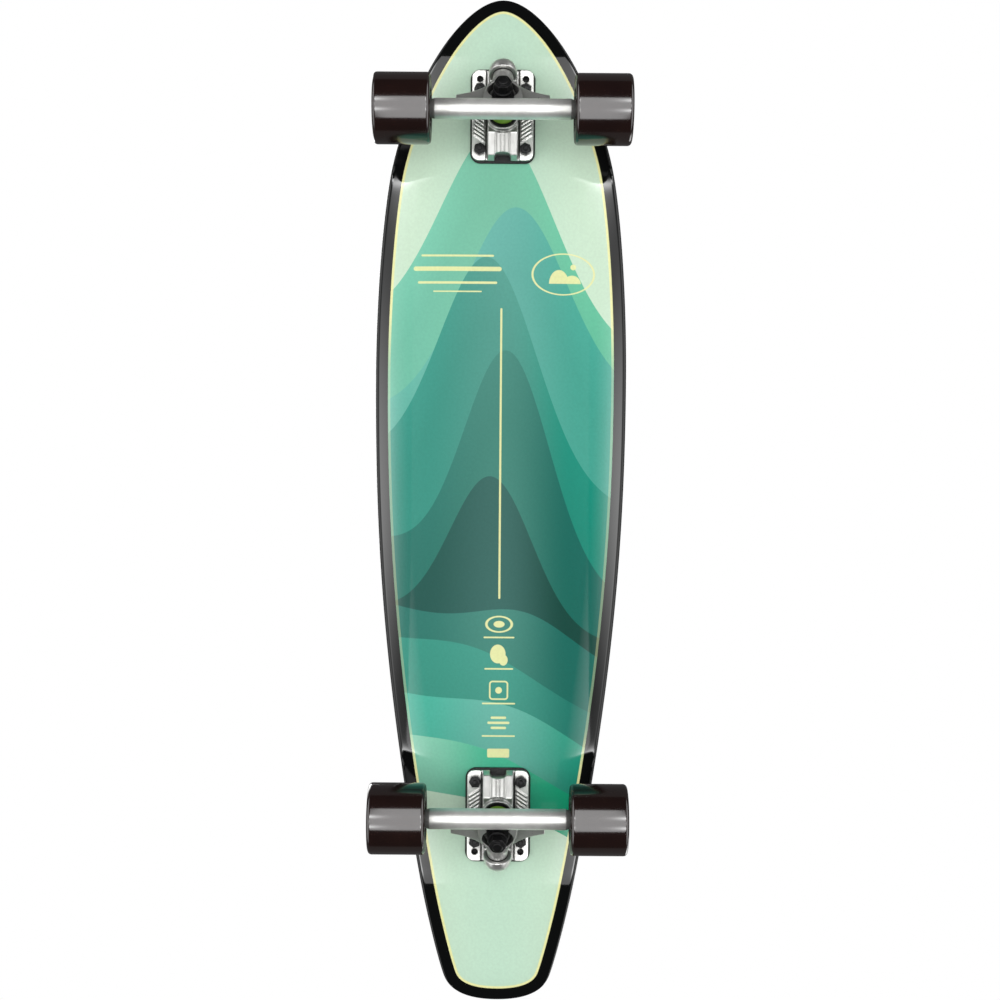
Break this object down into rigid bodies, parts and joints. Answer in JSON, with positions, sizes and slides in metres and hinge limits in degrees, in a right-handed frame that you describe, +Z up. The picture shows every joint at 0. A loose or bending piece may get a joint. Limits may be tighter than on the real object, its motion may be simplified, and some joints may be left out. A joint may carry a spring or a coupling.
{
  "type": "skateboard",
  "caption": "Cruiser skateboard with a pointed nose, kick tail, concave deck, reverse-kingpin trucks and wide soft wheels.",
  "frame": {"origin": "on the ground under the middle of the deck's length and width", "axes": "+X towards the pointed nose, +Y to the rider's left, +Z up, standing on its wheels"},
  "size_m": [0.919, 0.2286, 0.1341],
  "materials": {
    "deck_wood": "glossy lacquer over a printed green graphic, black border, maple plies on the edge",
    "grip": "coarse black grit",
    "riser_rubber": "matte black",
    "cast_aluminium": "polished and tumbled casting",
    "steel": "zinc plated",
    "bearing_steel": "ground steel rings",
    "black_steel": "black oxide",
    "bushing": "satin green urethane",
    "black_plastic": "moulded liner",
    "wheel_urethane": "glossy dark maroon urethane"
  },
  "bodies": {
    "board": {"deck": "deck_wood", "grip_tape": "grip", "bolt_front_inner_left": "black_steel", "bolt_nut_front_inner_left": "black_steel", "bolt_front_inner_right": "black_steel", "bolt_nut_front_inner_right": "black_steel", "bolt_front_outer_left": "black_steel", "bolt_nut_front_outer_left": "black_steel", "bolt_front_outer_right": "black_steel", "bolt_nut_front_outer_right": "black_steel", "bolt_rear_inner_left": "black_steel", "bolt_nut_rear_inner_left": "black_steel", "bolt_rear_inner_right": "black_steel", "bolt_nut_rear_inner_right": "black_steel", "bolt_rear_outer_left": "black_steel", "bolt_nut_rear_outer_left": "black_steel", "bolt_rear_outer_right": "black_steel", "bolt_nut_rear_outer_right": "black_steel", "front_riser_pad": "riser_rubber", "front_baseplate": "cast_aluminium", "front_pivot_cup": "black_plastic", "front_kingpin": "steel", "front_kingpin_nut": "black_steel", "front_board_bushing": "bushing", "front_road_bushing": "riser_rubber", "front_board_washer": "black_steel", "front_road_washer": "black_steel", "rear_riser_pad": "riser_rubber", "rear_baseplate": "cast_aluminium", "rear_pivot_cup": "black_plastic", "rear_kingpin": "steel", "rear_kingpin_nut": "black_steel", "rear_board_bushing": "bushing", "rear_road_bushing": "riser_rubber", "rear_board_washer": "black_steel", "rear_road_washer": "black_steel"},
    "front_left_wheel_body": {"front_left_wheel": "wheel_urethane", "front_left_inner_bearing": "bearing_steel", "front_left_outer_bearing": "bearing_steel"},
    "front_right_wheel_body": {"front_right_wheel": "wheel_urethane", "front_right_inner_bearing": "bearing_steel", "front_right_outer_bearing": "bearing_steel"},
    "front_hanger_body": {"front_hanger": "cast_aluminium", "front_axle": "steel", "front_left_spacer": "steel", "front_left_axle_nut": "black_steel", "front_right_spacer": "steel", "front_right_axle_nut": "black_steel"},
    "rear_left_wheel_body": {"rear_left_wheel": "wheel_urethane", "rear_left_inner_bearing": "bearing_steel", "rear_left_outer_bearing": "bearing_steel"},
    "rear_right_wheel_body": {"rear_right_wheel": "wheel_urethane", "rear_right_inner_bearing": "bearing_steel", "rear_right_outer_bearing": "bearing_steel"},
    "rear_hanger_body": {"rear_hanger": "cast_aluminium", "rear_axle": "steel", "rear_left_spacer": "steel", "rear_left_axle_nut": "black_steel", "rear_right_spacer": "steel", "rear_right_axle_nut": "black_steel"}
  },
  "joints": [
    {"name": "front_steer", "type": "hinge", "parent": "board", "child": "front_hanger_body", "pos_m": [0.355, 0, 0.055], "axis": [0.8829, 0, 0.4695], "range_deg": [-15, 15], "stiffness_Nm_per_rad": 90, "deforming": ["front_board_bushing", "front_road_bushing"]},
    {"name": "front_left_wheel_spin", "type": "hinge", "parent": "front_hanger_body", "child": "front_left_wheel_body", "pos_m": [0.342, 0, 0.03075], "axis": [0, 1, 0], "continuous": true},
    {"name": "front_right_wheel_spin", "type": "hinge", "parent": "front_hanger_body", "child": "front_right_wheel_body", "pos_m": [0.342, 0, 0.03075], "axis": [0, 1, 0], "continuous": true},
    {"name": "rear_steer", "type": "hinge", "parent": "board", "child": "rear_hanger_body", "pos_m": [-0.287, 0, 0.055], "axis": [-0.8829, 0, 0.4695], "range_deg": [-15, 15], "stiffness_Nm_per_rad": 90, "deforming": ["rear_board_bushing", "rear_road_bushing"]},
    {"name": "rear_left_wheel_spin", "type": "hinge", "parent": "rear_hanger_body", "child": "rear_left_wheel_body", "pos_m": [-0.274, 0, 0.03075], "axis": [0, 1, 0], "continuous": true},
    {"name": "rear_right_wheel_spin", "type": "hinge", "parent": "rear_hanger_body", "child": "rear_right_wheel_body", "pos_m": [-0.274, 0, 0.03075], "axis": [0, 1, 0], "continuous": true}
  ]
}
